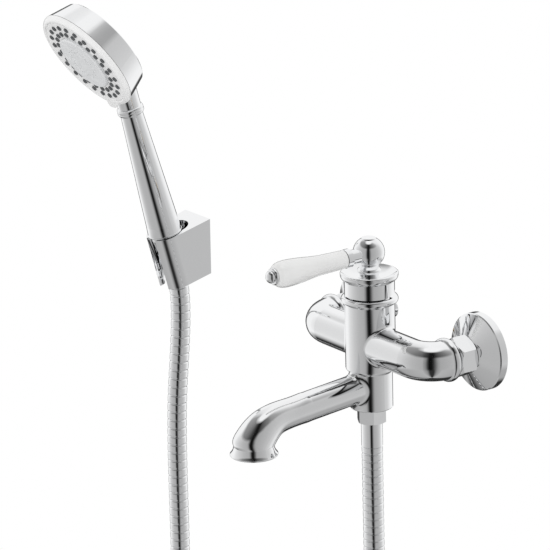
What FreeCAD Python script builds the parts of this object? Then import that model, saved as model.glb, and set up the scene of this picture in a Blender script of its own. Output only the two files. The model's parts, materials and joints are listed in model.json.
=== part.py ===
import FreeCAD, Part
import math
import os

# Wall-mounted bath mixer with a single lever, a hand shower, its hose and its wall bracket.
# Millimetres. The wall is the plane y = 0, x runs along the wall, -y comes out of the wall, z is up.
# The origin is on the wall, midway between the two inlets, at the height of the leg tubes.

os.makedirs("parts", exist_ok=True)
V = FreeCAD.Vector

# Clearances
run_gap = 0.05          # radial gap of parts that slide or turn in a bore
free_gap = 0.3          # gap between parts that move apart
seat_gap = 0.15         # radial gap of a fixed part dropped into a bore

# Inlets and wall side
inlet_spacing = 150.0
body_projection = 56.0
leg_radius = 16.0
leg_bore = 9.0
leg_bend = 20.0
leg_end = 35.0
bead_radius = 17.9
bead_width = 8.5
tail_radius = 11.9
tail_end = 24.0
tail_flange = 12.95
clip_wire = 1.3
thread_34_radius = 13.1
thread_12_radius = 10.48
union_thread_length = 10.0
union_body_radius = 11.2
wall_thread_length = 14.0
eccentric_offset = 8.0
gasket_thickness = 2.0
nut_across_flats = 30.0
nut_length = 17.0
nut_wall_end = 16.0
nut_thread_depth = 11.0
escutcheon_radius = 31.9
escutcheon_rim = 7.0
escutcheon_depth = 15.7
escutcheon_neck = 14.5
escutcheon_wall = 1.2

# Body column
upper_radius = 20.6
lower_radius = 17.8
body_top = 34.4
body_bottom = 55.3
waist_top = 20.5
waist_bottom = 24.5
leg_blend = 3.0
spout_blend = 6.5
collar_radius = 16.2
collar_top = 44.0
seat_height = 31.0
cartridge_radius = 12.5
nut_thread_radius = 14.0
riser_radius = 2.4
riser_offset = 9.2
leg_bore_stop = 6.6
valve_height = 24.0
valve_bore = 5.4
front_port = 13.0
inlet_port = 3.5
rear_port = 5.5
port_radius = 3.2
outlet_bore = 9.0
outlet_bore_depth = 12.7

# Spout
spout_radius = 12.25
spout_duct = 9.0
spout_reach = 118.6
spout_height = 35.86
bend_reach = 36.6
bend_drop = 26.6
mouth_height = 68.6
mouth_radius = 19.5
mouth_neck = 16.4
mouth_bore = 12.4
flare_height = 8.0
aerator_recess = 0.8

# Trim ring and lever hub
ring_radius = 23.4
ring_height = 5.8
hood_radius = 20.6
hood_wall = 2.1
hood_bottom = 41.0
hood_top = 53.0
hood_web = 2.1
dish_radius = 23.65
dish_top = 60.0
dish_well = 54.5
neck_radius = 7.9
neck_bead = 9.9
neck_blend = 4.0
ball_radius = 13.0
ball_height = 76.3
ball_flat = 88.5
lever_height = 75.3
pivot_height = 46.0
lever_lift = 16.0
boss_radius = 6.0
boss_end = 19.7
ferrule_radius = 7.8
ferrule_length = 6.1
handle_length = 68.2
handle_bore = 2.7
rod_radius = 2.5
finial_radius = 5.0
finial_length = 5.0
finial_collar = 2.5

# Cartridge
seal_thickness = 1.0
base_thickness = 2.4
fixed_disc_thickness = 2.0
moving_disc_thickness = 2.0
disc_radius = 10.8
slide_disc_radius = 7.9
carrier_thickness = 2.2
guide_radius = 8.0
guide_top = 47.8
shell_shoulder = 41.0
shell_neck_radius = 9.6
shell_top = 47.4
shell_wall = 1.4
pin_radius = 1.0
spindle_width = 6.0
spindle_top = 66.0
spindle_ball = 2.0
port_spread = 5.2

# Diverter
button_radius = 7.5
button_face = 31.9
button_travel = 6.0
button_recess = 7.9
bush_radius = 6.6
bush_length = 5.0
stem_radius = 2.0

# Hose fittings
nipple_bore = 5.7
nipple_thread = 8.33
nipple_length = 9.2
hose_nut_flats = 21.9
hose_nut_length = 12.8
hose_nut_turn = -29.3
sleeve_radius = 8.85
sleeve_length = 20.5
hose_radius = 8.65
hose_valley = 7.7
hose_bore = 5.9
hose_pitch = 7.35
tail_tube = 6.1
tail_bore = 4.2
tail_reach = 10.0

# Hand shower and bracket
bracket_offset = 324.3
socket_out = 35.6
socket_height = 14.4
socket_tilt = 15.0
socket_radius = 14.0
socket_floor_radius = 12.4
bracket_nose = 17.0
bracket_length = 48.8
bracket_back = 38.4
bracket_slot = 13.0
pocket_radius = 12.2
pocket_back = 11.2
pocket_depth = 13.0
screw_spacing = 22.0
screw_hole = 2.25
screw_sink = 4.3
screw_seat = 8.0
screw_mid = -4.0
skirt_radius = 15.65
grip_radius = 14.3
grip_top_radius = 9.9
grip_length = 118.0
grip_wall = 1.8
collar_bead = 11.5
collar_length = 7.0
head_neck_radius = 10.2
cone_top_radius = 13.5
cone_end_radius = 9.0
cone_length = 30.5
spigot_length = 13.0
head_rise = 63.5
head_forward = 30.9
head_tilt = 18.07
rim_radius = 50.2
rim_depth = 4.4
shell_inset = 5.8
shell_back_depth = 26.2
head_wall = 1.6
plate_inset = 5.2
plate_thickness = 1.8
outer_inset = 6.3
inner_inset = 13.4
nozzle_count = 22
nozzle_radius = 2.3
nozzle_height = 0.8
centre_inset = 17.7
centre_height = 2.2
tab_width = 9.0

# Hose route: points chosen by hand, from the mixer down, round the loop and up to the bracket.
# Its two ends are the ends of the hose's fittings, added where the hose is made.
hose_route = [
    (0.0, -56.0, -230.0),
    (1.2, -54.0, -410.0),
    (-0.8, -50.5, -585.0),
    (-62.0, -47.5, -669.8),
    (-162.0, -44.0, -702.3),
    (-262.0, -40.5, -669.8),
    (-324.9, -37.0, -585.0),
    (-325.6, -33.0, -430.0),
    (-324.3, -31.0, -290.0),
    (-324.3, -30.9, -222.0),
    (-324.3, -30.4, -180.0),
    (-324.3, -28.6, -140.0),
    (-324.3, -24.4, -102.0),
    (-324.3, -21.4, -66.0),
]
hose_lead = 21.95


def place(shape, base, axis, xdir=(1, 0, 0)):
    # Moves a shape made about local Z so that its Z runs along axis and its X lies near xdir.
    z = V(*axis).normalize()
    x = V(*xdir)
    x = x - z * x.dot(z)
    if x.Length < 1e-6:
        x = V(0, 1, 0) - z * z.y
    x = x.normalize()
    y = z.cross(x)
    m = FreeCAD.Matrix(x.x, y.x, z.x, base[0], x.y, y.y, z.y, base[1], x.z, y.z, z.z, base[2], 0, 0, 0, 1)
    s = shape.copy()
    s.Placement = FreeCAD.Placement(m).multiply(s.Placement)
    return s


def turned(points):
    # Turns a closed profile of (radius, height) points about Z. A point with four numbers ends an arc.
    edges = []
    start = V(points[0][0], 0, points[0][1])
    last = start
    for p in points[1:]:
        end = V(p[-2], 0, p[-1])
        if len(p) == 4:
            edges.append(Part.Arc(last, V(p[0], 0, p[1]), end).toShape())
        else:
            edges.append(Part.makeLine(last, end))
        last = end
    if (last - start).Length > 1e-6:
        edges.append(Part.makeLine(last, start))
    return Part.Face(Part.Wire(edges)).revolve(V(0, 0, 0), V(0, 0, 1), 360)


def rod(r, low, high):
    return Part.makeCylinder(r, high - low, V(0, 0, low))


def tube(r, bore, low, high):
    return rod(r, low, high).cut(rod(bore, low - 1, high + 1))


def block(x0, x1, y0, y1, z0, z1):
    return Part.makeBox(x1 - x0, y1 - y0, z1 - z0, V(x0, y0, z0))


def hexagon(flats, low, high, bevel, inset):
    # A hexagon prism with both ends turned to a bevel.
    corner = flats / 2 / math.cos(math.radians(30))
    pts = [V(corner * math.cos(math.radians(60 * i)), corner * math.sin(math.radians(60 * i)),
        low) for i in range(7)]
    prism = Part.Face(Part.makePolygon(pts)).extrude(V(0, 0, high - low))
    edge = flats / 2 - inset
    rise = (corner - edge) * bevel
    lathe = turned([(0, low), (edge, low), (corner, low + rise), (corner, high - rise), (edge, high),
        (0, high)])
    return prism.common(lathe)


def at_body(shape):
    return place(shape, (0, -body_projection, 0), (0, 0, 1))


def fused(shapes):
    return shapes[0].fuse(shapes[1:]).removeSplitter()


def export(shape, name):
    solids = shape.Solids
    good = solids[0] if len(solids) == 1 else Part.makeCompound(solids)
    print(name, len(solids), "solid", good.isValid(), round(sum(s.Volume for s in solids), 1))
    good.exportStep("parts/" + name + ".step")
    return good


made = {}


def part(name, shape):
    made[name] = export(shape, name)


# Wall side: the angled legs' run from the body to the wall, one function for outside and bore

def leg_run(r, side, inner_x, y_end):
    x_end = inlet_spacing / 2
    first = Part.makeCylinder(r, x_end - leg_bend - inner_x, V(inner_x, -body_projection, 0), V(1, 0, 0))
    ring = Part.Wire(Part.makeCircle(r, V(x_end - leg_bend, -body_projection, 0), V(1, 0, 0)))
    hub = V(x_end - leg_bend, -body_projection + leg_bend, 0)
    bend = Part.Face(ring).revolve(hub, V(0, 0, 1), 90)
    y_bend = -body_projection + leg_bend
    run = [first, bend]
    if y_end - y_bend > 0.01:
        run.append(Part.makeCylinder(r, y_end - y_bend, V(x_end, y_bend, 0), V(0, 1, 0)))
    whole = run[0].fuse(run[1:])
    return whole if side > 0 else whole.mirror(V(0, 0, 0), V(1, 0, 0))


# Spout centre line: a straight run, then a bend whose shape is given in shares of its own reach and drop

mouth_y = -body_projection - spout_reach
bend_shape = [(1.0, 1.0), (0.6175, 0.9436), (0.3716, 0.8271), (0.1749, 0.6316)]
bend_offsets = [(a * bend_reach, b * bend_drop) for a, b in bend_shape]
bend_offsets += [(0.0355 * bend_reach, flare_height + 0.1353 * bend_drop), (0.0, flare_height)]
bend_growth = [0.0, 0.0, 0.0, 0.16, 0.47, 0.78, 0.95, 0.995]
bend_points = [V(0, mouth_y + dy, -mouth_height + dz) for dy, dz in bend_offsets]
spout_start = V(0, -body_projection - 4, -spout_height)
slope = math.atan((spout_start.z - bend_points[0].z) / (spout_start.y - bend_points[0].y))
# Two rings on the straight run lead into the bend, so that it leaves the straight tube smoothly
lead = 0.22 * bend_reach
for k in range(2):
    bend_points.insert(0, bend_points[0] + V(0, lead, lead * math.tan(slope)))


def spout_form(r0, r1):
    curve = Part.BSplineCurve()
    heading = V(0, -math.cos(slope), -math.sin(slope))
    curve.interpolate(Points=bend_points, InitialTangent=heading, FinalTangent=V(0, 0, -1))
    straight_length = (bend_points[0] - spout_start).Length
    straight = Part.makeCylinder(r0, straight_length, spout_start, bend_points[0] - spout_start)
    rings = []
    for p, g in zip(bend_points, bend_growth):
        t = curve.tangent(curve.parameter(p))[0]
        rings.append(Part.Wire(Part.makeCircle(r0 + (r1 - r0) * g, p, t)))
    # The bend ends a little inside the flare and is a hair smaller there, so that no two faces coincide
    rings[-1].translate(V(0, 0, -0.5))
    bend = Part.makeLoft(rings, True, False)
    return straight, bend


outlet_bore_top = body_bottom - outlet_bore_depth
bush_in = -body_projection + rear_port + port_radius + 0.3
bush_out = bush_in + bush_length


def blended(shape, radius, surfaces):
    # Rounds the edges that lie on both of two cylinders, each given as a distance test.
    picked = []
    for e in shape.Edges:
        span = e.LastParameter - e.FirstParameter
        pts = [e.valueAt(e.FirstParameter + span * k / 6.0) for k in range(7)]
        if all(all(abs(test(p)) < 0.02 for p in pts) for test in surfaces):
            picked.append(e)
    print("blended edges", len(picked))
    return shape.makeFillet(radius, picked)


def body_casting():
    foot = lower_radius - 0.05
    waist = waist_bottom - waist_top
    fall = 2 * math.atan((upper_radius - foot) / waist)
    convex = 0.6 * waist / math.sin(fall)
    concave = 0.4 * waist / math.sin(fall)
    upper = at_body(turned([
        (0, -waist_bottom), (foot, -waist_bottom),
        (foot + concave * (1 - math.cos(fall / 2)), -waist_bottom + concave * math.sin(fall / 2),
         foot + concave * (1 - math.cos(fall)), -waist_bottom + concave * math.sin(fall)),
        (upper_radius - convex * (1 - math.cos(fall / 2)), -waist_top - convex * math.sin(fall / 2),
        upper_radius, -waist_top),
        (upper_radius, body_top - 0.6), (upper_radius - 0.6, body_top),
        (collar_radius, body_top), (collar_radius, collar_top - 0.5), (collar_radius - 0.5, collar_top),
        (0, collar_top)]))
    for side in (1, -1):
        upper = upper.fuse(leg_run(leg_radius, side, 1.0, -leg_end))
    upper = upper.removeSplitter()

    def leg_test(p):
        return math.hypot(p.y + body_projection, p.z) - leg_radius

    def upper_test(p):
        return math.hypot(p.x, p.y + body_projection) - upper_radius

    upper = blended(upper, min(leg_blend, (upper_radius - leg_radius) * 0.8), [leg_test, upper_test])
    lower = at_body(rod(lower_radius, -body_bottom - 2 * spout_blend, 0))
    straight, bend = spout_form(spout_radius, mouth_neck)
    lower = lower.fuse(straight).removeSplitter()
    heading = (bend_points[0] - spout_start).normalize()

    def spout_test(p):
        d = p - spout_start
        return (d - heading * d.dot(heading)).Length - spout_radius

    def lower_test(p):
        return math.hypot(p.x, p.y + body_projection) - lower_radius

    lower = blended(lower, spout_blend, [spout_test, lower_test])
    # The column is made too long for the blend, then cut to length with its rim rounded
    below = at_body(turned([
        (0, -body_bottom), (lower_radius - 1.2, -body_bottom),
        (lower_radius - 0.3, -body_bottom + 0.35, lower_radius + 0.05, -body_bottom + 1.2),
        (lower_radius + 2, -body_bottom + 1.2), (lower_radius + 2, -body_bottom - 3 * spout_blend),
        (0, -body_bottom - 3 * spout_blend)]))
    solid = upper.fuse(lower.cut(below))
    # The mouth flares in one hollow curve down to a thin lip
    flare_top = -mouth_height + flare_height
    flare_out = mouth_radius - 0.3 - mouth_neck
    flare_drop = flare_height - 0.9
    bow = (flare_out ** 2 + flare_drop ** 2) / (2 * flare_out)
    swing = math.asin(min(1.0, flare_drop / bow)) / 2
    flare = place(turned([
        (0, flare_top), (mouth_neck, flare_top),
        (mouth_neck + bow * (1 - math.cos(swing)), flare_top - bow * math.sin(swing), mouth_radius - 0.3,
        -mouth_height + 0.9),
        (mouth_radius, -mouth_height + 0.1, mouth_radius - 0.8, -mouth_height - 0.5),
        (mouth_bore + 1.5, -mouth_height - 0.9), (0, -mouth_height - 0.9)]), (0, mouth_y, 0), (0, 0, 1))
    solid = solid.fuse([bend, flare])
    x_in = inlet_spacing / 2
    for side in (1, -1):
        bead = turned([
            (0, 0), (leg_radius - 0.8, 0), (bead_radius, bead_width / 2, leg_radius - 0.8, bead_width),
            (0, bead_width)])
        bead = place(bead, (side * x_in, -nut_wall_end - nut_length - seat_gap - bead_width, 0), (0, 1, 0))
        tail = place(rod(tail_radius, -2, leg_end - tail_end), (side * x_in, -leg_end, 0), (0, 1, 0))
        clip_groove = tube(tail_flange + 1, tail_radius - clip_wire / 2, 0, clip_wire + 0.1)
        clip_groove = place(clip_groove, (side * x_in, -tail_end - 2.9, 0), (0, 1, 0))
        solid = solid.fuse([bead, tail]).cut(clip_groove)
    duct, duct_bend = spout_form(spout_duct, mouth_bore - 0.4)
    duct_start = -body_projection - front_port + 1.0
    trim = block(-20, 20, duct_start, 0, -spout_height - 40, -spout_height + 40)
    solid = solid.cut(duct.cut(trim)).cut(duct_bend)
    mouth = Part.makeCylinder(mouth_bore, flare_height + 2.3, V(0, mouth_y, -mouth_height - 2), V(0, 0, 1))
    solid = solid.cut(mouth)
    for side in (1, -1):
        run = leg_run(leg_bore, side, leg_bore_stop, -tail_end + 1)
        run = run.fuse(Part.makeCylinder(leg_bore, 20, V(side * x_in, -tail_end - 16, 0), V(0, 1, 0)))
        solid = solid.cut(run)
        riser = Part.makeCylinder(riser_radius, seat_height + 1, V(side * riser_offset, -body_projection, 0),
            V(0, 0, 1))
        solid = solid.cut(riser)
    axis_y = -body_projection
    cuts = [
        rod(cartridge_radius + seat_gap, seat_height, collar_top + 1),
        rod(nut_thread_radius, shell_shoulder, collar_top + 1),
        rod(outlet_bore, -body_bottom - 1, -outlet_bore_top)]
    for c in cuts:
        solid = solid.cut(place(c, (0, axis_y, 0), (0, 0, 1)))
    solid = solid.cut(Part.makeCylinder(port_radius, seat_height + 1 - valve_height,
        V(0, axis_y - inlet_port, valve_height), V(0, 0, 1)))
    chamber_front = axis_y - front_port - port_radius - 0.6
    solid = solid.cut(Part.makeCylinder(valve_bore, bush_out - chamber_front, V(0, chamber_front, valve_height),
        V(0, 1, 0)))
    outward = -bush_out
    solid = solid.cut(Part.makeCylinder(bush_radius, outward + bush_length, V(0, bush_in, valve_height),
        V(0, 1, 0)))
    solid = solid.cut(Part.makeCylinder(button_recess, outward, V(0, bush_out, valve_height), V(0, 1, 0)))
    front = Part.makeCylinder(port_radius, valve_height + spout_height,
        V(0, axis_y - front_port, -spout_height), V(0, 0, 1))
    rear = Part.makeCylinder(port_radius, valve_height + outlet_bore_top + 3,
        V(0, axis_y + rear_port, -outlet_bore_top - 3), V(0, 0, 1))
    return solid.cut(front).cut(rear).removeSplitter()


part("body_casting", body_casting())

# Wall unions, one set for each inlet

wall_end = -eccentric_offset
for side, label in ((1, "right"), (-1, "left")):
    x_in = side * inlet_spacing / 2
    clip = tube(tail_flange, tail_radius - clip_wire / 2 + run_gap, 0.05, clip_wire + 0.05)
    clip = clip.cut(block(-2, 2, 0, 20, -1, 5))
    part("nut_snap_ring_" + label, place(clip, (x_in, -tail_end - 2.9, 0), (0, 1, 0)))
    washer = tube(tail_radius + 0.4, 7.5, 0, gasket_thickness)
    part("union_gasket_" + label, place(washer, (x_in, -tail_end, 0), (0, 1, 0)))
    thread_face = -tail_end + gasket_thickness
    thread_back = thread_face + union_thread_length
    union = Part.makeCylinder(thread_34_radius, union_thread_length, V(x_in, thread_face, 0), V(0, 1, 0))
    wing = Part.makeCylinder(union_body_radius, 10, V(x_in, thread_back, 0), V(0, 1, 0))
    back = Part.makeCylinder(union_body_radius, -thread_back - 2, V(x_in, thread_back, wall_end), V(0, 1, 0))
    wing = wing.common(block(x_in - 20, x_in + 20, thread_back, -2, -20, 20))
    pipe = Part.makeCylinder(thread_12_radius, wall_thread_length + 2, V(x_in, -2, wall_end), V(0, 1, 0))
    union = fused([union, wing, back, pipe])
    union = union.cut(Part.makeCylinder(8.0, union_thread_length + 4, V(x_in, thread_face - 1, 0), V(0, 1, 0)))
    union = union.cut(Part.makeCylinder(7.5, wall_thread_length + 20, V(x_in, thread_back - 1, wall_end),
        V(0, 1, 0)))
    part("wall_union_" + label, union)
    nut = hexagon(nut_across_flats, 0, nut_length, 0.75, 1.0)
    nut = nut.cut(rod(thread_34_radius, nut_length - nut_thread_depth, nut_length + 1))
    nut = nut.cut(rod(tail_radius + seat_gap, -1, nut_length))
    tilt_x = (math.cos(math.radians(30)), 0, math.sin(math.radians(30)))
    part("union_nut_" + label, place(nut, (x_in, -nut_wall_end - nut_length, 0), (0, 1, 0), tilt_x))
    neck = escutcheon_neck
    out = escutcheon_radius
    w = escutcheon_wall
    hole = thread_34_radius + seat_gap
    plate = turned([
        (out - w, 0), (out, 0), (out, escutcheon_rim - 0.8), (out - 0.8, escutcheon_rim),
        (neck + 1.0, escutcheon_depth - 0.7), (neck, escutcheon_depth), (hole, escutcheon_depth),
        (hole, escutcheon_depth - w), (neck, escutcheon_depth - w), (out - w - 0.6, escutcheon_rim - 1.2),
        (out - w, escutcheon_rim - 2.0)])
    part("escutcheon_" + label, place(plate, (x_in, 0, 0), (0, -1, 0)))

# Aerator

aerator_radius = mouth_bore - seat_gap - run_gap
aer_low = -mouth_height - 0.9 + aerator_recess
ring = turned([
    (aerator_radius - 0.2, aer_low), (aerator_radius, aer_low + 0.2), (aerator_radius, aer_low + 5.0),
    (aerator_radius - 1.0, aer_low + 5.0),
    (aerator_radius - 1.0, aer_low + 1.2), (aerator_radius - 2.0, aer_low)])
part("aerator_housing", place(ring, (0, mouth_y, 0), (0, 0, 1)))
core = rod(aerator_radius - 1.0, aer_low + 1.2, aer_low + 5.0)
core = core.cut(rod(aerator_radius - 2.4, aer_low, aer_low + 2.2))
for count, rr in ((1, 0.0), (6, 3.4), (12, 6.8)):
    for k in range(count):
        a = 2 * math.pi * k / count
        core = core.cut(Part.makeCylinder(1.0, 10, V(rr * math.cos(a), rr * math.sin(a), aer_low - 1)))
part("aerator_insert", place(core, (0, mouth_y, 0), (0, 0, 1)))
part("aerator_gasket", place(tube(aerator_radius - 0.6, 8.0, aer_low + 5.0, aer_low + 6.2), (0, mouth_y, 0),
    (0, 0, 1)))

# Trim ring

ring_low = body_top
ring_mid = ring_low + ring_height / 2
trim = turned([
    (collar_radius + seat_gap, ring_low), (upper_radius + 0.2, ring_low),
    (ring_radius, ring_mid, upper_radius + 0.6, ring_low + ring_height),
    (collar_radius + seat_gap, ring_low + ring_height)])
part("trim_ring", at_body(trim))

# Cartridge, from its seal up

z0 = seat_height
seal = rod(cartridge_radius, z0, z0 + seal_thickness)
base = rod(cartridge_radius, z0 + seal_thickness, z0 + seal_thickness + base_thickness)
for side in (1, -1):
    seal = seal.cut(Part.makeCylinder(riser_radius, 5, V(side * riser_offset, 0, z0 - 1)))
    base = base.cut(Part.makeCylinder(riser_radius, seal_thickness + 1.4, V(side * riser_offset, 0, z0)))
    slot_a = min(port_spread, riser_offset)
    slot_b = max(port_spread, riser_offset)
    slot = block(slot_a, slot_b, -1.3, 1.3, z0, z0 + seal_thickness + 1.6)
    base = base.cut(slot if side > 0 else slot.mirror(V(0, 0, 0), V(1, 0, 0)))
    base = base.cut(Part.makeCylinder(1.6, 20, V(side * port_spread, 0, z0)))
outlet_y = -inlet_port + 1.4
seal = seal.cut(Part.makeCylinder(port_radius, 5, V(0, -inlet_port, z0 - 1)))
base = base.cut(Part.makeCylinder(1.8, 6, V(0, outlet_y, z0)))
part("cartridge_seal", at_body(seal))
part("cartridge_base", at_body(base))
z1 = z0 + seal_thickness + base_thickness
fixed = rod(disc_radius, z1, z1 + fixed_disc_thickness)
fixed = fixed.cut(Part.makeCylinder(1.8, 6, V(0, outlet_y, z1 - 1)))
for side in (1, -1):
    fixed = fixed.cut(Part.makeCylinder(1.6, 6, V(side * port_spread, 0, z1 - 1)))
part("fixed_ceramic_disc", at_body(fixed))
z2 = z1 + fixed_disc_thickness + 0.02
moving = rod(slide_disc_radius, z2, z2 + moving_disc_thickness)
moving = moving.cut(block(-6.2, 6.2, 1.8, 4.2, z2 - 1, z2 + 0.9)).cut(block(-1.6, 1.6, outlet_y - 2, 4.2,
    z2 - 1, z2 + 0.9))
part("moving_ceramic_disc", at_body(moving))
z3 = z2 + moving_disc_thickness
carrier = rod(slide_disc_radius, z3, z3 + carrier_thickness)
carrier = carrier.cut(block(-spindle_ball - run_gap, spindle_ball + run_gap, -spindle_ball - 2 * free_gap,
    spindle_ball + 2 * free_gap, z3 + 0.4, z3 + 5))
part("disc_carrier", at_body(carrier))
guide_low = z3 + carrier_thickness + 0.1
guide_slot = spindle_width / 2 / math.cos(math.radians(lever_lift)) + (pivot_height - guide_low) * math.tan(math.radians(lever_lift)) + free_gap
guide_side = spindle_width / 2 + run_gap
guide = rod(guide_radius, guide_low, guide_top)
guide = guide.cut(block(-guide_side, guide_side, -guide_slot, guide_slot, guide_low - 1, guide_top + 1))
pin_hole = Part.makeCylinder(pin_radius, 4 * guide_radius, V(-2 * guide_radius, 0, pivot_height), V(1, 0, 0))
guide = guide.cut(pin_hole)
part("spindle_guide", at_body(guide))
pin_half = guide_radius - 0.5
part("pivot_pin", at_body(Part.makeCylinder(pin_radius, 2 * pin_half, V(-pin_half, 0, pivot_height),
    V(1, 0, 0))))
shell_in = guide_radius + run_gap
shell = turned([
    (cartridge_radius - shell_wall, z1), (cartridge_radius, z1), (cartridge_radius, shell_shoulder),
    (shell_neck_radius, shell_shoulder), (shell_neck_radius, shell_top - 0.4),
    (shell_neck_radius - 0.4, shell_top),
    (shell_in, shell_top), (shell_in, guide_low), (cartridge_radius - shell_wall, guide_low)])
part("cartridge_housing", at_body(shell))
clamp = tube(nut_thread_radius, shell_neck_radius + seat_gap, shell_shoulder, collar_top + 1.0)
for k in range(4):
    a = math.radians(45 + 90 * k)
    clamp = clamp.cut(Part.makeCylinder(1.1, 5, V(12.0 * math.cos(a), 12.0 * math.sin(a), collar_top - 1.0)))
part("cartridge_nut", at_body(clamp))

# Lever hub: spindle, hood, dish, neck and ball, all turning and lifting together

half = spindle_width / 2
lift = math.radians(lever_lift)
# Its lower end is short enough for its corners to clear the disc carrier when the lever is lifted
spindle_low = guide_low + half * math.sin(lift) + 0.1
spindle = block(-half, half, -half, half, spindle_low, spindle_top)
spindle = spindle.common(rod(half * 1.35, guide_low - 5, spindle_top + 1))
foot = rod(spindle_ball, z3 + 0.8, spindle_low + 1.0)
spindle = spindle.fuse(foot).cut(Part.makeCylinder(pin_radius + run_gap, 40, V(-20, 0, pivot_height),
    V(1, 0, 0)))
part("lever_spindle", at_body(spindle))

hood = turned([
    (hood_radius - hood_wall, hood_bottom), (hood_radius - 0.3, hood_bottom), (hood_radius, hood_bottom + 0.3),
    (hood_radius, hood_top), (half * 1.35 + seat_gap, hood_top), (half * 1.35 + seat_gap, hood_top - hood_web),
    (hood_radius - hood_wall, hood_top - hood_web)])
# The rear of the rim is cut away on a slope, so that it clears the trim ring when the lever is lifted
clear_height = ring_low + ring_height + 0.5
wedge = block(-60, 60, -60, 60, -60, 0)
wedge = wedge.copy()
wedge.rotate(V(0, 0, 0), V(1, 0, 0), lever_lift)
wedge.translate(V(0, 0, pivot_height + (clear_height - pivot_height) / math.cos(lift)))
hood = hood.cut(wedge.common(block(-60, 60, 0, 60, -60, 120)))
part("hub_hood", at_body(hood))

neck_hole = neck_radius - 1.6
dish = turned([
    (neck_hole, hood_top), (hood_radius, hood_top), (hood_radius + 0.5, hood_top + 0.6),
    (dish_radius - 0.4, hood_top + 2.9, dish_radius, dish_top - 1.7),
    (dish_radius - 0.25, dish_top - 0.35, dish_radius - 1.2, dish_top),
    (dish_radius - 8.5, dish_well + 1.5, neck_radius + 1.2, dish_well),
    (neck_hole, dish_well)])
part("hub_dish", at_body(dish))

bead_z = dish_top + 1.0
blend_drop = math.sqrt((ball_radius + neck_blend) ** 2 - (neck_radius + neck_blend) ** 2)
blend_turn = math.atan2(blend_drop, neck_radius + neck_blend)
blend_mid = (neck_radius + neck_blend * (1 - math.cos(blend_turn / 2)),
    ball_height - blend_drop + neck_blend * math.sin(blend_turn / 2))
blend_end = (ball_radius * math.cos(blend_turn), ball_height - ball_radius * math.sin(blend_turn))
neck = turned([
    (0, dish_well), (neck_radius + 1.1, dish_well),
    (neck_radius + 0.3, dish_well + 1.0, neck_radius, dish_well + 2.4),
    (neck_radius, bead_z - 2.0),
    (neck_bead, bead_z, neck_radius, bead_z + 2.0),
    (neck_radius, ball_height - blend_drop), blend_mid + blend_end,
    (ball_radius, ball_height, 6.4, ball_height + math.sqrt(ball_radius ** 2 - 6.4 ** 2)),
    (5.8, ball_flat), (0, ball_flat)])
plug = tube(neck_hole - seat_gap, half * 1.35 + seat_gap, hood_top, dish_well)
neck = neck.fuse(plug)
socket = block(-half - run_gap, half + run_gap, -half - run_gap, half + run_gap, hood_top - 1,
    spindle_top + 0.5)
neck = neck.cut(socket.common(rod(half * 1.35 + run_gap, hood_top - 2, spindle_top + 2)))
boss = Part.makeCylinder(boss_radius, boss_end, V(0, 0, lever_height), V(0, -1, 0))
neck = neck.fuse(boss)
neck = neck.cut(Part.makeCylinder(rod_radius, boss_end + 1, V(0, -5.0, lever_height), V(0, -1, 0)))
screw_z = bead_z + 3.5
neck = neck.cut(Part.makeCylinder(2.0, 20, V(0, half, screw_z), V(0, 1, 0)))
part("hub_neck", at_body(neck))
grub = Part.makeCylinder(2.0, neck_radius - half - 0.6, V(0, half + run_gap, screw_z), V(0, 1, 0))
part("hub_set_screw", at_body(grub))

lever_end = boss_end + ferrule_length + handle_length
lever_rod = rod(rod_radius, 5.5, lever_end + 5.0)
part("lever_rod", place(lever_rod, (0, -body_projection, lever_height), (0, -1, 0)))
ferrule = turned([
    (rod_radius + seat_gap, boss_end), (boss_radius, boss_end), (ferrule_radius, boss_end + 0.6),
    (ferrule_radius, boss_end + ferrule_length - 0.5),
    (ferrule_radius - 0.4, boss_end + ferrule_length), (rod_radius + seat_gap, boss_end + ferrule_length)])
part("lever_ferrule", place(ferrule, (0, -body_projection, lever_height), (0, -1, 0)))
handle_start = boss_end + ferrule_length
handle_shape = [(0.0, 7.5), (0.19, 7.8), (0.40, 8.35), (0.58, 9.7), (0.73, 10.65), (0.83, 10.9), (0.92, 10.4),
    (0.975, 8.8), (1.0, 6.9)]
curve = Part.BSplineCurve()
curve.interpolate(Points=[V(r, 0, handle_start + handle_length * t) for t, r in handle_shape])
first = V(handle_bore, 0, handle_start)
last = V(handle_bore, 0, handle_start + handle_length)
wire = Part.Wire([
    Part.makeLine(first, V(handle_shape[0][1], 0, handle_start)), curve.toShape(),
    Part.makeLine(V(handle_shape[-1][1], 0, handle_start + handle_length), last), Part.makeLine(last, first)])
grip = Part.Face(wire).revolve(V(0, 0, 0), V(0, 0, 1), 360)
part("ceramic_handle", place(grip, (0, -body_projection, lever_height), (0, -1, 0)))
finial = turned([
    (0, lever_end + 5.0), (rod_radius, lever_end + 5.0), (rod_radius, lever_end), (6.4, lever_end),
    (6.9, lever_end + finial_collar / 2, 6.4, lever_end + finial_collar),
    (finial_radius, lever_end + finial_collar + 0.2), (finial_radius, lever_end + finial_collar + 0.4 * finial_length),
    (finial_radius * 0.78, lever_end + finial_collar + finial_length - 1.4, 0.5,
    lever_end + finial_collar + finial_length),
    (0, lever_end + finial_collar + finial_length)])
part("lever_finial", place(finial, (0, -body_projection, lever_height), (0, -1, 0)))

# Diverter: button at the rear of the body, stem, two-sided valve and return spring

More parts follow.
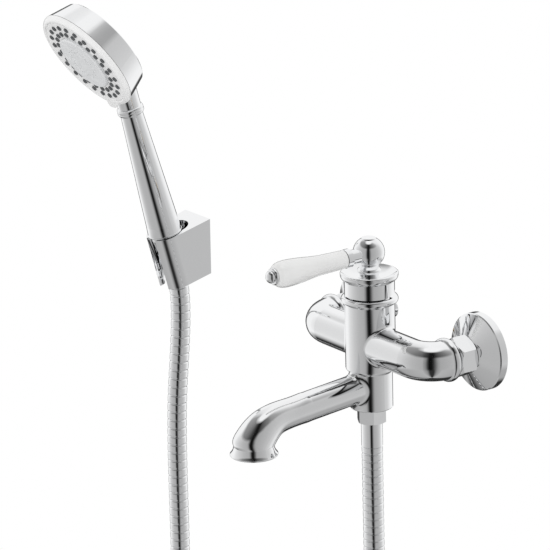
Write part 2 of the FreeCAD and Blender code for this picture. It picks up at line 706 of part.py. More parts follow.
bush = tube(bush_radius, stem_radius + run_gap, 0, bush_length)
part("diverter_bush", place(bush, (0, bush_in, valve_height), (0, 1, 0)))
button_base = bush_out + button_travel + free_gap
button_high = -button_face - button_base
grip_hole = button_high - 1.2
button = turned([
    (stem_radius, 0), (button_radius, 0), (button_radius, button_high - 1.2),
    (button_radius - 0.35, button_high - 0.35, button_radius - 1.2, button_high), (0, button_high + 0.7),
    (0, grip_hole), (stem_radius, grip_hole)])
part("diverter_button", place(button, (0, button_base, valve_height), (0, 1, 0)))
valve_thickness = button_travel - 0.2
valve_rest = -body_projection + rear_port - port_radius - 0.1 - valve_thickness
stem = rod(stem_radius, 0, button_base + grip_hole - valve_rest).fuse(rod(valve_bore - 1.6, -1.0, 0))
part("diverter_stem", place(stem, (0, valve_rest, valve_height), (0, 1, 0)))
disc = tube(valve_bore - run_gap, stem_radius, 0, valve_thickness)
part("diverter_valve", place(disc, (0, valve_rest, valve_height), (0, 1, 0)))

# Hose outlet: nipple, check valve, nut, gasket, tail and sleeve

nipple_bottom = body_bottom + nipple_length
nipple = turned([
    (nipple_bore, -nipple_bottom), (nipple_thread, -nipple_bottom), (nipple_thread, -body_bottom - 0.3),
    (outlet_bore, -body_bottom),
    (outlet_bore, -outlet_bore_top - 1), (nipple_bore, -outlet_bore_top - 1)])
part("outlet_nipple", at_body(nipple))
check_top = -outlet_bore_top - 2.5
check_radius = nipple_bore - run_gap
check = turned([
    (0, check_top - 8.5), (2.6, check_top - 8.5), (2.6, check_top - 5.5), (check_radius, check_top - 5.5),
    (check_radius, check_top),
    (check_radius - 1.75, check_top), (check_radius - 1.75, check_top - 2.5), (1.2, check_top - 4.3),
    (0, check_top - 4.3)])
part("check_valve", at_body(check))
nut_low = -body_bottom - 0.3 - hose_nut_length
nut = hexagon(hose_nut_flats, nut_low, nut_low + hose_nut_length, 0.5, 0.2)
nut = nut.cut(rod(nipple_thread, nut_low + 1.8, 0)).cut(rod(tail_tube + seat_gap, nut_low - 1, 0))
nut_turn = math.radians(hose_nut_turn)
part("hose_nut", place(nut, (0, -body_projection, 0), (0, 0, 1), (math.cos(nut_turn), math.sin(nut_turn), 0)))
tail_low = nut_low + 1.8
sleeve_top = nut_low - 0.1
sleeve_end = sleeve_top - sleeve_length
tail = turned([
    (tail_bore, sleeve_end - tail_reach), (hose_bore - 0.1, sleeve_end - tail_reach),
    (hose_bore - 0.1, sleeve_end), (tail_tube, sleeve_end),
    (tail_tube, tail_low), (nipple_thread - 0.2, tail_low), (nipple_thread - 0.2, tail_low + 0.7),
    (tail_bore, tail_low + 0.7)])
part("hose_tail_lower", at_body(tail))
part("hose_gasket", at_body(tube(nipple_thread - 0.2, tail_bore, tail_low + 0.7, -nipple_bottom)))
sleeve = turned([
    (tail_tube, sleeve_end), (sleeve_radius, sleeve_end), (sleeve_radius, sleeve_top - 0.6),
    (sleeve_radius - 0.6, sleeve_top), (tail_tube, sleeve_top)])
part("hose_sleeve", at_body(sleeve))

# Bracket and hand shower, made upright about the socket axis and then tilted

shower_base = (-bracket_offset, -socket_out, socket_height)
tilt = math.radians(socket_tilt)


def tilted(shape):
    s = shape.copy()
    s.rotate(V(0, 0, 0), V(1, 0, 0), socket_tilt)
    s.translate(V(*shower_base))
    return s


top = -0.3
bottom = top - bracket_length
back_half = bracket_back / 2
far = socket_out / math.cos(tilt) + 25
reach = socket_out / math.cos(tilt)
spread = math.atan2(back_half - bracket_nose, reach)
tangent = V(bracket_nose * math.cos(spread), -bracket_nose * math.sin(spread), 0)
outer_x = tangent.x + (far - tangent.y) * math.tan(spread)
edges = [
    Part.Arc(tangent, V(0, -bracket_nose, 0), V(-tangent.x, tangent.y, 0)).toShape(),
    Part.makeLine(V(-tangent.x, tangent.y, 0), V(-outer_x, far, 0)),
    Part.makeLine(V(-outer_x, far, 0), V(outer_x, far, 0)),
    Part.makeLine(V(outer_x, far, 0), tangent)]
bracket = Part.Face(Part.Wire(edges)).extrude(V(0, 0, bracket_length))
bracket.translate(V(0, 0, bottom))
socket = turned([
    (0, bottom - 1), (socket_floor_radius, bottom - 1), (socket_floor_radius, bottom), (socket_radius, top),
    (socket_radius, top + 1), (0, top + 1)])
bracket = bracket.cut(socket)
bracket = bracket.cut(block(-bracket_slot / 2, bracket_slot / 2, -bracket_nose - 1, 0, bottom - 1, top + 1))
bracket = bracket.cut(Part.makeCylinder(pocket_radius, pocket_depth + 1, V(0, pocket_back, top - pocket_depth)))
room = 3 * bracket_length
bracket = tilted(bracket).common(block(-bracket_offset - room, -bracket_offset + room, -room, 0, -room, room))
for sz in (screw_mid + screw_spacing / 2, screw_mid - screw_spacing / 2):
    hole = Part.makeCylinder(screw_hole, 2 * screw_seat, V(-bracket_offset, -1.5 * screw_seat, sz), V(0, 1, 0))
    sink = Part.makeCylinder(screw_sink, socket_out, V(-bracket_offset, -screw_seat - socket_out, sz),
        V(0, 1, 0))
    bracket = bracket.cut(hole).cut(sink)
part("bracket_body", bracket)

# Hose end in the bracket: its nut turns on the hose's tail

cone_top = -1.0
cone_bore = thread_12_radius + run_gap
cone = turned([
    (tail_tube + run_gap, free_gap - cone_length), (cone_end_radius, free_gap - cone_length),
    (cone_top_radius, cone_top - 3.0), (cone_top_radius, cone_top),
    (cone_bore, cone_top), (cone_bore, -spigot_length - 4.0), (tail_tube + run_gap, -spigot_length - 4.0)])
part("cone_nut", tilted(cone))
upper_tail = turned([
    (tail_bore, -cone_length - tail_reach), (hose_bore - 0.1, -cone_length - tail_reach),
    (hose_bore - 0.1, -cone_length), (tail_tube, -cone_length), (tail_tube, -spigot_length - 3.9),
    (thread_12_radius - 0.3, -spigot_length - 3.9), (thread_12_radius - 0.3, -spigot_length - 2.4),
    (tail_bore, -spigot_length - 2.4)])
part("hose_tail_upper", tilted(upper_tail))
part("cone_gasket", tilted(tube(thread_12_radius - 0.3, tail_bore, -spigot_length - 2.4, -spigot_length - 0.3)))

skirt = skirt_radius
w = grip_wall
grip_shell = turned([
    (thread_12_radius + 0.9, 0.0), (skirt - 0.5, 0.0), (skirt, 0.6, skirt - 0.5, 1.5),
    (grip_radius + 0.75, 4.5, grip_radius + 0.4, 10.0), (grip_radius, 20.0), (grip_top_radius, grip_length),
    (grip_top_radius - w, grip_length), (grip_radius - w, 20.0), (grip_radius - w, 4.0),
    (thread_12_radius + 0.9, 4.0)])
part("grip_tube", tilted(grip_shell))
pipe_radius = 6.4
spigot = turned([
    (pipe_radius - 1.4, -spigot_length), (thread_12_radius, -spigot_length), (thread_12_radius, 4.0),
    (grip_radius - w - 0.3, 4.0),
    (grip_radius - w - 0.3, 8.0), (pipe_radius, 8.0), (pipe_radius, 6.0), (pipe_radius - 1.4, 6.0)])
part("grip_spigot", tilted(spigot))
head_height = grip_length + head_rise
neck_top = head_height - rim_radius + 11.7
part("waterway_pipe", tilted(tube(pipe_radius, pipe_radius - 1.4, 6.0, neck_top)))
bead = turned([
    (pipe_radius + 0.1, grip_length), (grip_top_radius, grip_length),
    (collar_bead - 0.2, grip_length + 0.9, collar_bead, grip_length + collar_length / 2),
    (collar_bead - 0.2, grip_length + collar_length - 0.9, head_neck_radius, grip_length + collar_length),
    (pipe_radius + 0.1, grip_length + collar_length)])
part("grip_collar", tilted(bead))

# Shower head, about the normal of its face

face_tilt = math.radians(head_tilt)
face_in = (0, math.cos(face_tilt), math.sin(face_tilt))
face_centre = (0, -head_forward, head_height)


def on_face(shape):
    # A shape made about Z with its height counted back from the face.
    return tilted(place(shape, face_centre, face_in))


hw = head_wall
back = shell_back_depth
shell_back_radius = rim_radius - shell_inset
plate_radius = rim_radius - plate_inset
centre_radius = plate_radius - centre_inset
outer_nozzles = plate_radius - outer_inset
inner_nozzles = plate_radius - inner_inset
shell_line = [(rim_radius, rim_depth), (shell_back_radius, back - 0.8), (shell_back_radius - 0.9, back),
    (0, back + 2.6)]
shell_out = turned([(0, rim_depth)] + shell_line)
neck_rod = rod(head_neck_radius, grip_length + collar_length, head_height - 20)
neck_limit = place(rod(head_height, -head_height, back + 0.5), face_centre, face_in)
neck_rod = neck_rod.common(neck_limit)
head_solid = neck_rod.fuse(place(shell_out, face_centre, face_in))
room = turned([
    (0, rim_depth - 1), (rim_radius - hw, rim_depth - 1), (rim_radius - hw, rim_depth),
    (shell_back_radius - hw, back - 1.0), (shell_back_radius - hw - 1, back - hw), (0, back + 2.6 - hw)])
head_solid = head_solid.cut(place(room, face_centre, face_in))
head_solid = head_solid.cut(rod(pipe_radius + 0.1, grip_length, neck_top + 0.5))
part("head_shell", tilted(head_solid))

ring_in = plate_radius + run_gap
ring_bead = turned([
    (ring_in, 1.0), (ring_in + 0.6, -0.2), (rim_radius - 1.6, 0.4, rim_radius, rim_depth - free_gap),
    (ring_in, rim_depth - free_gap)])
tab = block(-tab_width / 2, tab_width / 2, -rim_radius - 2.4, -ring_in - 1.2, -1.4, rim_depth - 1.2)
tab = tab.makeFillet(1.0, [e for e in tab.Edges if abs(e.tangentAt(e.FirstParameter).z) > 0.9])
tab = tab.mirror(V(0, 0, 0), V(0, 1, 0))
# The tab points down the face: local +Y of the face frame runs down
selector = ring_bead.fuse(tab)
part("selector_ring", on_face(selector))

deck = rim_depth + 0.3
plate = turned([
    (centre_radius + 0.1, 0.6), (plate_radius - 0.5, 0.6), (plate_radius, 1.1), (plate_radius, rim_depth),
    (rim_radius - hw - 0.9, rim_depth),
    (rim_radius - hw - 0.9, deck + 1.8), (centre_radius + 0.1, deck + 1.8)])
pad_low = 0.6 + plate_thickness
pad_room = tube(plate_radius - 2.6, centre_radius + 1.2, pad_low, deck + 2.8)
plate = plate.cut(pad_room)
pad = tube(plate_radius - 2.6 - 0.1, centre_radius + 1.3, pad_low, pad_low + 1.6)
bores = []
tips = []
for rr, off in ((outer_nozzles, 0.0), (inner_nozzles, 0.5)):
    for k in range(nozzle_count):
        a = 2 * math.pi * (k + off) / nozzle_count
        x = rr * math.cos(a)
        y = rr * math.sin(a)
        bores.append(Part.makeCylinder(nozzle_radius + 0.1, 10, V(x, y, -2)))
        tips.append(Part.makeCylinder(nozzle_radius, pad_low + nozzle_height + 0.3,
            V(x, y, -nozzle_height + 0.3)))
plate = plate.cut([b.common(rod(60, -2, pad_low + 0.5)) for b in bores])
pad = pad.fuse(tips)
small = [Part.makeCylinder(0.6, 10, V(t.CenterOfMass.x, t.CenterOfMass.y, -3)) for t in tips]
pad = pad.cut(small)
part("nozzle_plate", on_face(plate))
part("nozzle_pad", on_face(pad))
disc = turned([
    (0, -centre_height), (centre_radius - 1.4, -centre_height),
    (centre_radius - 0.3, -centre_height + 0.4, centre_radius, -centre_height + 1.6),
    (centre_radius, deck + 1.8), (0, deck + 1.8)])
for ring_n in range(6):
    for k in range(5):
        a = math.radians(60 * ring_n + 12 * (k - 2))
        rr = 13.0 + 2.2 * (k % 2)
        disc = disc.cut(Part.makeCylinder(0.6, 20, V(rr * math.cos(a), rr * math.sin(a), -5)))
part("centre_disc", on_face(disc))
flow_low = deck + 1.9
flow = turned([(0, flow_low), (rim_radius - hw - 1.5, flow_low), (rim_radius - hw - 1.5, flow_low + 2.4),
    (0, flow_low + 2.4)])
for k in range(6):
    a = math.radians(60 * k + 30)
    for rr, hole_radius in ((centre_radius - 7.3, 3.0), (inner_nozzles + 3.4, 2.2)):
        flow = flow.cut(Part.makeCylinder(hole_radius, 20, V(rr * math.cos(a), rr * math.sin(a), -5)))
part("flow_divider", on_face(flow))

# Ribbed hose: straight runs joined by tangent arcs, sampled at the ribs


def hose_path(points):
    pts = [V(*p) for p in points]
    pieces = []
    last = pts[0]
    for i in range(1, len(pts) - 1):
        a = (pts[i] - pts[i - 1])
        b = (pts[i + 1] - pts[i])
        half_turn = a.getAngle(b) / 2
        cut = 0.45 * min(a.Length, b.Length)
        radius = cut / math.tan(half_turn)
        print("hose bend", i, "radius", round(radius, 1))
        a = a.normalize()
        b = b.normalize()
        start = pts[i] - a * cut
        end = pts[i] + b * cut
        pieces.append(("line", last, start, a))
        normal = a.cross(b).normalize()
        centre = start + normal.cross(a) * radius
        pieces.append(("arc", centre, start, normal, radius, 2 * half_turn))
        last = end
    pieces.append(("line", last, pts[-1], (pts[-1] - last).normalize()))
    return pieces


def piece_length(piece):
    if piece[0] == "line":
        return (piece[2] - piece[1]).Length
    return piece[4] * piece[5]


def along(pieces, s):
    # The place and heading at a distance s along the hose.
    for piece in pieces:
        length = piece_length(piece)
        if s <= length + 1e-9 or piece is pieces[-1]:
            if piece[0] == "line":
                return piece[1] + piece[3] * s, piece[3]
            turn = FreeCAD.Rotation(piece[3], math.degrees(s / piece[4]))
            arm = turn.multVec(piece[2] - piece[1])
            return piece[1] + arm, piece[3].cross(arm).normalize()
        s -= length


hose_out = (0.0, -body_projection, sleeve_end)
hose_in = [(shower_base[0], shower_base[1] + d * math.sin(tilt),
    shower_base[2] - d * math.cos(tilt)) for d in (cone_length + hose_lead, cone_length)]
pieces = hose_path([hose_out] + hose_route + hose_in)
hose_length = sum(piece_length(p) for p in pieces)
rib_count = int(round(hose_length / hose_pitch))
pitch = hose_length / rib_count
print("hose length", round(hose_length, 1), "ribs", rib_count, "pitch", round(pitch, 3))
steady = V(0, 1, 0)


def ring_at(s, r):
    p, t = along(pieces, s)
    side_dir = (steady - t * steady.dot(t)).normalize()
    circle = Part.Circle(p, t, r)
    circle.XAxis = side_dir
    return Part.Wire(circle.toShape())


stations = []
for k in range(rib_count):
    s = k * pitch
    stations.append((s, hose_valley))
    stations.append((s + 0.09 * pitch, hose_radius))
    stations.append((s + 0.82 * pitch, hose_radius))
    stations.append((s + 0.91 * pitch, hose_valley))
stations.append((hose_length, hose_valley))
outer = Part.makeLoft([ring_at(s, r) for s, r in stations], True, True)
inner = Part.makeLoft([ring_at(k * pitch, hose_bore) for k in range(rib_count + 1)], True, True)
hose = outer.cut(inner)
area = math.pi * (hose_radius ** 2 - hose_bore ** 2)
print("hose volume", round(hose.Volume), "crest section times length", round(area * hose_length))
part("shower_hose", hose)
print("nodes", len(made))
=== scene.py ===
import json
import math

import bpy
from mathutils import Matrix, Vector


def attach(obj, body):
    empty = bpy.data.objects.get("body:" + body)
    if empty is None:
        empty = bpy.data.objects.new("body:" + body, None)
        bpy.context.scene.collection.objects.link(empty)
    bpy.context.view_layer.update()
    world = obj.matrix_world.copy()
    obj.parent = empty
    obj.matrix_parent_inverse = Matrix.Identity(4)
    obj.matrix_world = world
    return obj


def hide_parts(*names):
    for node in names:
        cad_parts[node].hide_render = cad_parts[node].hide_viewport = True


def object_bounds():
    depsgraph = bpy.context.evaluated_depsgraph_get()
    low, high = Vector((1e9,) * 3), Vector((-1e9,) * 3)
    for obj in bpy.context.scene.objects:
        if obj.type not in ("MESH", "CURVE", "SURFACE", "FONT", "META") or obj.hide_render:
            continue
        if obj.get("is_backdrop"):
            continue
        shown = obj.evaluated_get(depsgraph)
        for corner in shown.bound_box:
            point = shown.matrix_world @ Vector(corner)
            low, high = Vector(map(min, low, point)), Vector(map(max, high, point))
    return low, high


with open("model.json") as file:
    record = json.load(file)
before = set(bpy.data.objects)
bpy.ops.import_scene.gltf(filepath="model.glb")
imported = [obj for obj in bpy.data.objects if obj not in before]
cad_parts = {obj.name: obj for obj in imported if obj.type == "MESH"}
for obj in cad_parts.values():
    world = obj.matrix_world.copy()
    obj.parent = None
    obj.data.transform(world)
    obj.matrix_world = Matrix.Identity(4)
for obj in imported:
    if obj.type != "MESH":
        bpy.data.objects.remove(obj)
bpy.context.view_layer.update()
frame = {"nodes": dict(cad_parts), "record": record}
nodes = frame["nodes"]
scene = bpy.context.scene

# Camera, fitted to the photograph

azimuth, elevation, roll = math.radians(54.363), math.radians(17.59), math.radians(-1.492)
camera_distance, camera_right, camera_up = 2.9, -0.122654, 0.043163
photo_width_px, focal_px, sensor_mm = 550.0, 3534.0, 36.0
back = Vector((
    math.sin(azimuth) * math.cos(elevation), -math.cos(azimuth) * math.cos(elevation), math.sin(elevation)))
level = Vector((math.cos(azimuth), math.sin(azimuth), 0.0))
upright = back.cross(level)
right = level * math.cos(roll) + upright * math.sin(roll)
up = upright * math.cos(roll) - level * math.sin(roll)
place = back * camera_distance + right * camera_right + up * camera_up
camera_data = bpy.data.cameras.new("camera")
camera_data.sensor_width = sensor_mm
camera_data.lens = sensor_mm * focal_px / photo_width_px
camera_data.clip_start, camera_data.clip_end = 0.05, 50.0
camera = bpy.data.objects.new("camera", camera_data)
camera.matrix_world = Matrix((
    (right.x, up.x, back.x, place.x),
    (right.y, up.y, back.y, place.y),
    (right.z, up.z, back.z, place.z),
    (0, 0, 0, 1)))
scene.collection.objects.link(camera)
scene.camera = camera
scene.view_settings.view_transform = "Standard"

# Hose: the same route points as in the CAD source, in metres

route = [
    (0.0, -0.056, -0.0890), (0.0, -0.056, -0.230), (0.0012, -0.054, -0.410), (-0.0008, -0.0505, -0.585),
    (-0.062, -0.0475, -0.6698), (-0.162, -0.044, -0.7023), (-0.262, -0.0405, -0.6698),
    (-0.3249, -0.037, -0.585), (-0.3256, -0.033, -0.430), (-0.3243, -0.031, -0.290), (-0.3243, -0.0309, -0.222),
    (-0.3243, -0.0304, -0.180), (-0.3243, -0.0286, -0.140), (-0.3243, -0.0244, -0.102),
    (-0.3243, -0.0214, -0.066), (-0.3243, -0.022025, -0.036263), (-0.3243, -0.027706, -0.015061)]
pitch_low, pitch_high = 0.0063, 0.0079     # turns are closer at the mixer than at the bracket
walk_steps = 24000
hose_segments = 40


def route_line(points):
    curve = bpy.data.curves.new("hose_line", "CURVE")
    curve.dimensions = "3D"
    curve.resolution_u = 48
    spline = curve.splines.new("NURBS")
    spline.points.add(len(points) - 1)
    for target, p in zip(spline.points, points):
        target.co = (*p, 1.0)
    spline.order_u = 3
    spline.use_endpoint_u = True
    holder = bpy.data.objects.new("hose_line", curve)
    scene.collection.objects.link(holder)
    mesh = bpy.data.meshes.new_from_object(holder)
    line = [v.co.copy() for v in mesh.vertices]
    bpy.data.objects.remove(holder)
    bpy.data.meshes.remove(mesh)
    return line


def walk(line, count):
    # Points and directions at equal steps along a line.
    run = [0.0]
    for a, b in zip(line, line[1:]):
        run.append(run[-1] + (b - a).length)
    total, out, k = run[-1], [], 0
    for i in range(count + 1):
        s = total * i / count
        while k < len(line) - 2 and run[k + 1] < s:
            k += 1
        t = (s - run[k]) / (run[k + 1] - run[k])
        p = line[k].lerp(line[k + 1], t)
        before, after = line[max(k - 1, 0)], line[min(k + 2, len(line) - 1)]
        d0, d1 = (line[k + 1] - before).normalized(), (after - line[k]).normalized()
        out.append((p, d0.lerp(d1, t).normalized()))
    return out, total


def tube_mesh(name, stations, profile, segments):
    # A round skin along stations of a point and a direction; profile gives the radius at each.
    verts, faces = [], []
    side = Vector((1, 0, 0))
    for (p, d), r in zip(stations, profile):
        side = (side - d * side.dot(d)).normalized()
        other = d.cross(side)
        for j in range(segments):
            a = 2 * math.pi * j / segments
            verts.append(p + (side * math.cos(a) + other * math.sin(a)) * r)
    for i in range(len(stations) - 1):
        for j in range(segments):
            k = (j + 1) % segments
            faces.append((i * segments + j, i * segments + k, (i + 1) * segments + k, (i + 1) * segments + j))
    mesh = bpy.data.meshes.new(name)
    mesh.from_pydata([tuple(v) for v in verts], [], faces)
    mesh.polygons.foreach_set("use_smooth", [True] * len(faces))
    mesh.update()
    piece = bpy.data.objects.new(name, mesh)
    scene.collection.objects.link(piece)
    return piece


line = route_line(route)
fine, hose_length = walk(line, walk_steps)
growth = pitch_high / pitch_low
rib_count = round(hose_length / (pitch_high - pitch_low) * math.log(growth))
# One interlocked turn: a broad, slightly crowned crest between two halves of a narrow groove, as share of the
# pitch and radius in mm. Its first half is mirrored for the second.
groove_mm, crest_mm = 7.72, 8.65
rise = [(0.045, 7.78), (0.08, 8.12), (0.11, 8.42), (0.16, 8.58), (0.26, 8.63)]
turn = [(0.0, groove_mm), *rise, (0.5, crest_mm), *((1 - at, r) for at, r in reversed(rise))]
steps = []
for i in range(rib_count):
    for at, r in turn:
        share = (growth ** ((i + at) / rib_count) - 1) / (growth - 1)
        steps.append((share, r / 1000))
steps.append((1.0, groove_mm / 1000))
stations = [fine[min(round(share * walk_steps), walk_steps)] for share, _ in steps]
hose = tube_mesh("ribbed_hose", stations, [r for _, r in steps], hose_segments)
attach(hose, "mixer")
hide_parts("shower_hose")

# Materials


def material(name):
    m = bpy.data.materials.new(name)
    m.use_nodes = True
    tree = m.node_tree
    return m, tree, tree.nodes["Principled BSDF"]


def noise(tree, scale, detail=4.0, roughness=0.55, source="Object", stretch=None):
    coords = tree.nodes.new("ShaderNodeTexCoord")
    tex = tree.nodes.new("ShaderNodeTexNoise")
    tex.inputs["Scale"].default_value = scale
    tex.inputs["Detail"].default_value = detail
    tex.inputs["Roughness"].default_value = roughness
    if stretch:
        mapping = tree.nodes.new("ShaderNodeMapping")
        mapping.inputs["Scale"].default_value = stretch
        tree.links.new(coords.outputs[source], mapping.inputs["Vector"])
        tree.links.new(mapping.outputs["Vector"], tex.inputs["Vector"])
    else:
        tree.links.new(coords.outputs[source], tex.inputs["Vector"])
    return tex.outputs["Fac"]


def ranged(tree, value, low, high, from_low=0.3, from_high=0.7):
    node = tree.nodes.new("ShaderNodeMapRange")
    node.inputs["From Min"].default_value = from_low
    node.inputs["From Max"].default_value = from_high
    node.inputs["To Min"].default_value = low
    node.inputs["To Max"].default_value = high
    tree.links.new(value, node.inputs["Value"])
    return node.outputs["Result"]


def tinted(tree, value, low, high):
    ramp = tree.nodes.new("ShaderNodeValToRGB")
    ramp.color_ramp.elements[0].position, ramp.color_ramp.elements[1].position = 0.35, 0.65
    ramp.color_ramp.elements[0].color, ramp.color_ramp.elements[1].color = (*low, 1), (*high, 1)
    tree.links.new(value, ramp.inputs["Fac"])
    return ramp.outputs["Color"]


def bumped(tree, shader, value, strength, distance):
    node = tree.nodes.new("ShaderNodeBump")
    node.inputs["Strength"].default_value = strength
    node.inputs["Distance"].default_value = distance
    tree.links.new(value, node.inputs["Height"])
    tree.links.new(node.outputs["Normal"], shader.inputs["Normal"])


def metal(name, low, high, rough_low, rough_high, wave_scale, wave, grain_scale, stretch=None):
    m, tree, shader = material(name)
    shader.inputs["Metallic"].default_value = 1.0
    grain = noise(tree, grain_scale, 6.0, 0.6, stretch=stretch)
    tree.links.new(tinted(tree, grain, low, high), shader.inputs["Base Color"])
    tree.links.new(ranged(tree, grain, rough_low, rough_high), shader.inputs["Roughness"])
    bumped(tree, shader, noise(tree, wave_scale, 2.0, stretch=stretch), wave, 0.001)
    return m


def moulded(name, low, high, rough_low, rough_high, grain_scale, strength, coat=0.0):
    m, tree, shader = material(name)
    shader.inputs["Specular IOR Level"].default_value = 0.5
    shader.inputs["Coat Weight"].default_value = coat
    shader.inputs["Coat Roughness"].default_value = 0.04
    grain = noise(tree, grain_scale, 5.0, 0.6)
    tree.links.new(tinted(tree, noise(tree, grain_scale / 12, 3.0), low, high), shader.inputs["Base Color"])
    tree.links.new(ranged(tree, grain, rough_low, rough_high), shader.inputs["Roughness"])
    bumped(tree, shader, grain, strength, 0.0002)
    return m


# Each metal: name, darkest and lightest colour, roughness range, wave scale and strength, grain scale, stretch.
# Each moulding: name, darkest and lightest colour, roughness range, grain scale, bump strength, glaze coat.
along_axis = (1, 1, 9)
looks = {
    "chrome": metal(
        "polished_chrome", (0.885, 0.89, 0.9), (0.91, 0.915, 0.92), 0.012, 0.03, 90.0, 0.0012, 700.0),
    "hose_metal": metal(
        "chromed_strip", (0.84, 0.845, 0.855), (0.9, 0.905, 0.91), 0.05, 0.12, 300.0, 0.02, 900.0),
    "brass": metal(
        "turned_brass", (0.62, 0.44, 0.2), (0.72, 0.53, 0.27), 0.18, 0.34, 400.0, 0.05, 1200.0, along_axis),
    "steel": metal(
        "turned_steel", (0.52, 0.53, 0.54), (0.62, 0.63, 0.64), 0.16, 0.3, 400.0, 0.05, 1200.0, along_axis),
    "porcelain": moulded(
        "white_glaze", (0.78, 0.78, 0.775), (0.82, 0.82, 0.815), 0.08, 0.16, 500.0, 0.03, 0.8),
    "disc_ceramic": moulded(
        "lapped_ceramic", (0.78, 0.76, 0.69), (0.84, 0.82, 0.76), 0.12, 0.22, 1500.0, 0.03),
    "white_plastic": moulded(
        "white_moulding", (0.86, 0.86, 0.86), (0.9, 0.9, 0.9), 0.16, 0.26, 1800.0, 0.05),
    "pale_grey_plastic": moulded(
        "pale_grey_moulding", (0.72, 0.73, 0.74), (0.78, 0.79, 0.8), 0.14, 0.24, 1800.0, 0.05),
    "inner_plastic": moulded(
        "plain_moulding", (0.62, 0.62, 0.6), (0.7, 0.7, 0.67), 0.35, 0.5, 1500.0, 0.12),
    "grey_rubber": moulded(
        "grey_silicone", (0.075, 0.08, 0.085), (0.1, 0.105, 0.11), 0.4, 0.55, 1500.0, 0.12),
    "black_rubber": moulded(
        "black_rubber", (0.012, 0.012, 0.012), (0.02, 0.02, 0.02), 0.5, 0.7, 1500.0, 0.15),
}


def dress(piece, look):
    piece.data.materials.clear()
    piece.data.materials.append(looks[look])


slot_of = {s["node"]: s["material_slot"] for s in frame["record"]["subparts"]}
for name, node in nodes.items():
    dress(node, slot_of[name])
dress(hose, "hose_metal")

# Studio: a world whose reflections are bright behind the object and grey in front, with one dark slit, a dark
# band above it and darkness low at the rear. Only reflections see it; the background itself is white.

world = bpy.data.worlds.new("studio")
scene.world = world
world.use_nodes = True
tree = world.node_tree
tree.nodes.clear()


def math_node(operation, *values, clamp=False):
    node = tree.nodes.new("ShaderNodeMath")
    node.operation = operation
    node.use_clamp = clamp
    for i, v in enumerate(values):
        if isinstance(v, (int, float)):
            node.inputs[i].default_value = v
        else:
            tree.links.new(v, node.inputs[i])
    return node.outputs[0]


def dotted(vector, direction):
    node = tree.nodes.new("ShaderNodeVectorMath")
    node.operation = "DOT_PRODUCT"
    tree.links.new(vector, node.inputs[0])
    node.inputs[1].default_value = direction
    return node.outputs["Value"]


def greys(factor, stops):
    node = tree.nodes.new("ShaderNodeValToRGB")
    ramp = node.color_ramp
    while len(ramp.elements) < len(stops):
        ramp.elements.new(0.5)
    for element, (at, grey) in zip(ramp.elements, stops):
        element.position = at
        element.color = (grey, grey, grey, 1)
    tree.links.new(factor, node.inputs["Fac"])
    return node.outputs["Color"]


def blend(factor, a, b):
    node = tree.nodes.new("ShaderNodeMix")
    node.data_type = "RGBA"
    tree.links.new(factor, node.inputs[0])
    for value, socket in ((a, node.inputs[6]), (b, node.inputs[7])):
        if isinstance(value, float):
            socket.default_value = (value, value, value, 1)
        else:
            tree.links.new(value, socket)
    return node.outputs[2]


def past(value, start, slope):
    # How far a value is past a start, from 0 to 1.
    return math_node("MULTIPLY", math_node("SUBTRACT", value, start), slope, clamp=True)


heading = tree.nodes.new("ShaderNodeTexCoord").outputs["Generated"]
front = dotted(heading, (math.sin(azimuth), -math.cos(azimuth), 0))
across = dotted(heading, (math.cos(azimuth), math.sin(azimuth), 0))
upward = dotted(heading, (0, 0, 1))
around = math_node("DIVIDE", math_node("ADD", math_node("ARCTAN2", across, front), math.pi), 2 * math.pi)
lift = math_node("DIVIDE", math_node("ARCSINE", upward), math.pi / 2)     # -1 straight down, 1 straight up


def studio(stops):
    # A ring of greys, each stop at its degrees around from the front.
    return greys(around, [((degrees + 180.0) / 360.0, grey) for degrees, grey in stops])


white = 0.98
patch_level = 0.07
fill_level = 0.92      # what matt surfaces are lit by
middle = studio((
    (-180, white), (-124, white), (-107, 0.80), (-80, 0.62), (-57, 0.51), (-28, 0.43), (-20, 0.26),
    (-14.5, 0.05), (-9.5, 0.004), (-3, 0.008), (1, 0.03), (6, 0.13), (13, 0.32), (19, 0.41), (27, 0.43),
    (52, 0.49), (68, 0.55), (92, 0.68), (112, 0.9), (125, white), (180, white)))
high = studio((
    (-180, white), (-150, 0.8), (-126, 0.35), (-80, 0.25), (-50, 0.16), (-24, 0.05), (-10, 0.01), (4, 0.01),
    (16, 0.07), (46, 0.2), (74, 0.4), (104, 0.9), (180, white)))
below = studio((
    (-180, 0.03), (-138, 0.03), (-112, 0.4), (-30, 0.48), (-18, 0.3), (-9, 0.03), (3, 0.03), (12, 0.3),
    (26, 0.48), (112, 0.4), (138, 0.03), (180, 0.03)))
mirrored = blend(past(lift, 0.38, 9.0), middle, high)
mirrored = blend(past(lift, 0.76, 9.0), mirrored, white)
mirrored = blend(past(lift, -0.30, -7.0), mirrored, below)
# A dark patch straight behind the object, which the outlines of round pieces mirror
mirrored = blend(past(dotted(heading, tuple(-back)), 0.86, 18.0), mirrored, patch_level)
path_kind = tree.nodes.new("ShaderNodeLightPath")
shown = blend(path_kind.outputs["Is Glossy Ray"], fill_level, mirrored)
shown = blend(path_kind.outputs["Is Camera Ray"], shown, 1.0)
shown = blend(path_kind.outputs["Is Transmission Ray"], shown, 1.0)
background = tree.nodes.new("ShaderNodeBackground")
output = tree.nodes.new("ShaderNodeOutputWorld")
tree.links.new(shown, background.inputs["Color"])
tree.links.new(background.outputs["Background"], output.inputs["Surface"])

# Floor, well below the hose loop

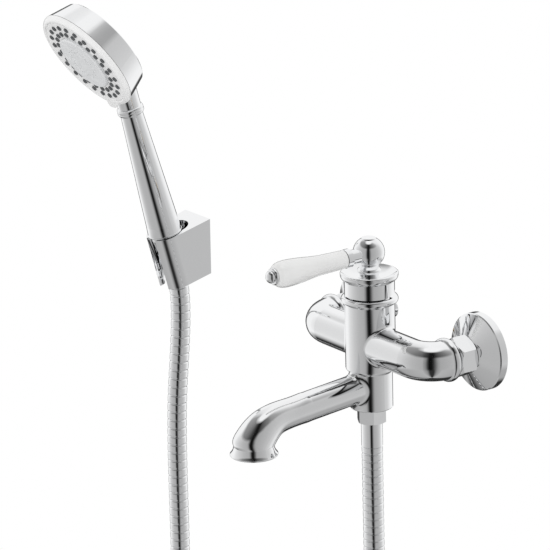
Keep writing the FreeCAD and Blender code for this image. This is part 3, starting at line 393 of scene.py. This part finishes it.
floor_centre = (-0.16, -0.05, -0.745)
rings, spokes, floor_radius = 24, 72, 0.8
fade_start, fade_end = 0.3, 0.78
floor_mesh = bpy.data.meshes.new("floor")
floor_verts = [floor_centre]
floor_faces = []
for i in range(1, rings + 1):
    ring_radius = floor_radius * i / rings
    for j in range(spokes):
        a = 2 * math.pi * j / spokes
        x, y, z = floor_centre
        floor_verts.append((x + ring_radius * math.cos(a), y + ring_radius * math.sin(a), z))
for j in range(spokes):
    floor_faces.append((0, 1 + j, 1 + (j + 1) % spokes))
for i in range(rings - 1):
    for j in range(spokes):
        a, b = 1 + i * spokes, 1 + (i + 1) * spokes
        k = (j + 1) % spokes
        floor_faces.append((a + j, b + j, b + k, a + k))
floor_mesh.from_pydata(floor_verts, [], floor_faces)
floor = bpy.data.objects.new("floor", floor_mesh)
scene.collection.objects.link(floor)
floor.visible_glossy = False
# The floor fades into the white background towards its rim
floor_look, ftree, shader = material("pale_floor")
shader.inputs["Roughness"].default_value = 0.9
pale = tinted(ftree, noise(ftree, 3.0), (0.9, 0.9, 0.9), (0.92, 0.92, 0.92))
ftree.links.new(pale, shader.inputs["Base Color"])
glow = ftree.nodes.new("ShaderNodeEmission")
mix = ftree.nodes.new("ShaderNodeMixShader")
coords = ftree.nodes.new("ShaderNodeTexCoord")
reach = ftree.nodes.new("ShaderNodeVectorMath")
reach.operation = "DISTANCE"
reach.inputs[1].default_value = floor_centre
ftree.links.new(coords.outputs["Object"], reach.inputs[0])
ftree.links.new(ranged(ftree, reach.outputs["Value"], 0.0, 1.0, fade_start, fade_end), mix.inputs["Fac"])
ftree.links.new(shader.outputs["BSDF"], mix.inputs[1])
ftree.links.new(glow.outputs["Emission"], mix.inputs[2])
ftree.links.new(mix.outputs["Shader"], ftree.nodes["Material Output"].inputs["Surface"])
floor_mesh.materials.append(floor_look)
floor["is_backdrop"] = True

# One large soft lamp for the matt and glazed surfaces

lamp_data = bpy.data.lights.new("soft_lamp", "AREA")
lamp_data.shape = "RECTANGLE"
lamp_data.size = lamp_data.size_y = 1.6
lamp_data.energy = 6.0
lamp = bpy.data.objects.new("soft_lamp", lamp_data)
lamp_place, lamp_aim = Vector((0.3, -1.9, 1.7)), Vector((-0.1, -0.05, 0.05))
lamp_turn = (lamp_aim - lamp_place).to_track_quat("-Z", "Y")
lamp.matrix_world = Matrix.Translation(lamp_place) @ lamp_turn.to_matrix().to_4x4()
lamp.visible_glossy = False
scene.collection.objects.link(lamp)

low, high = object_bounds()
